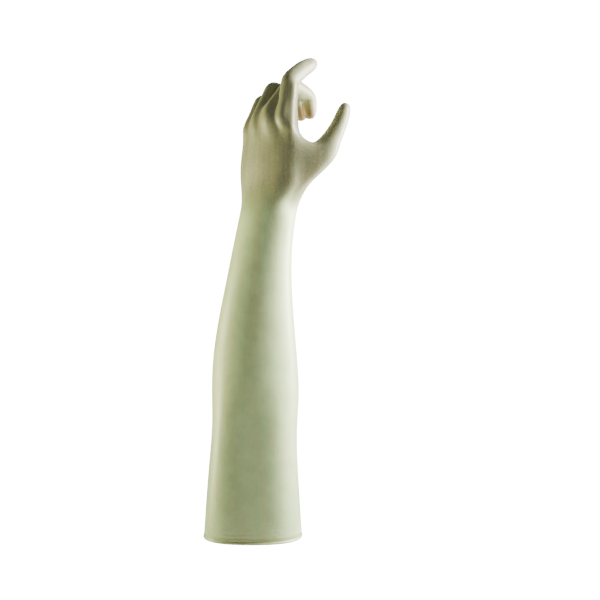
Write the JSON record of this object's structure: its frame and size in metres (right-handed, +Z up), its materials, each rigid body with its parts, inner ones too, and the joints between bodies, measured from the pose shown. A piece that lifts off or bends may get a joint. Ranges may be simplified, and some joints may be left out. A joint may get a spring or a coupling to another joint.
{
  "type": "cleanroom glove",
  "caption": "Shoulder-length cleanroom glove for the left hand in its worn shape: a thin hollow latex film, open at the cuff, its edge rolled into a bead.",
  "frame": {"origin": "centre of the cuff opening, at the lowest point of the rolled edge", "axes": "+Z up the sleeve towards the fingers, -Y towards the viewer of the picture, +X to the viewer's right, the side that the thumb stands out on"},
  "size_m": [0.1787, 0.1192, 0.5827],
  "materials": {
    "latex": "satin natural latex, pale green-cream, slightly translucent"
  },
  "bodies": {
    "root": {"glove": "latex"}
  },
  "joints": []
}
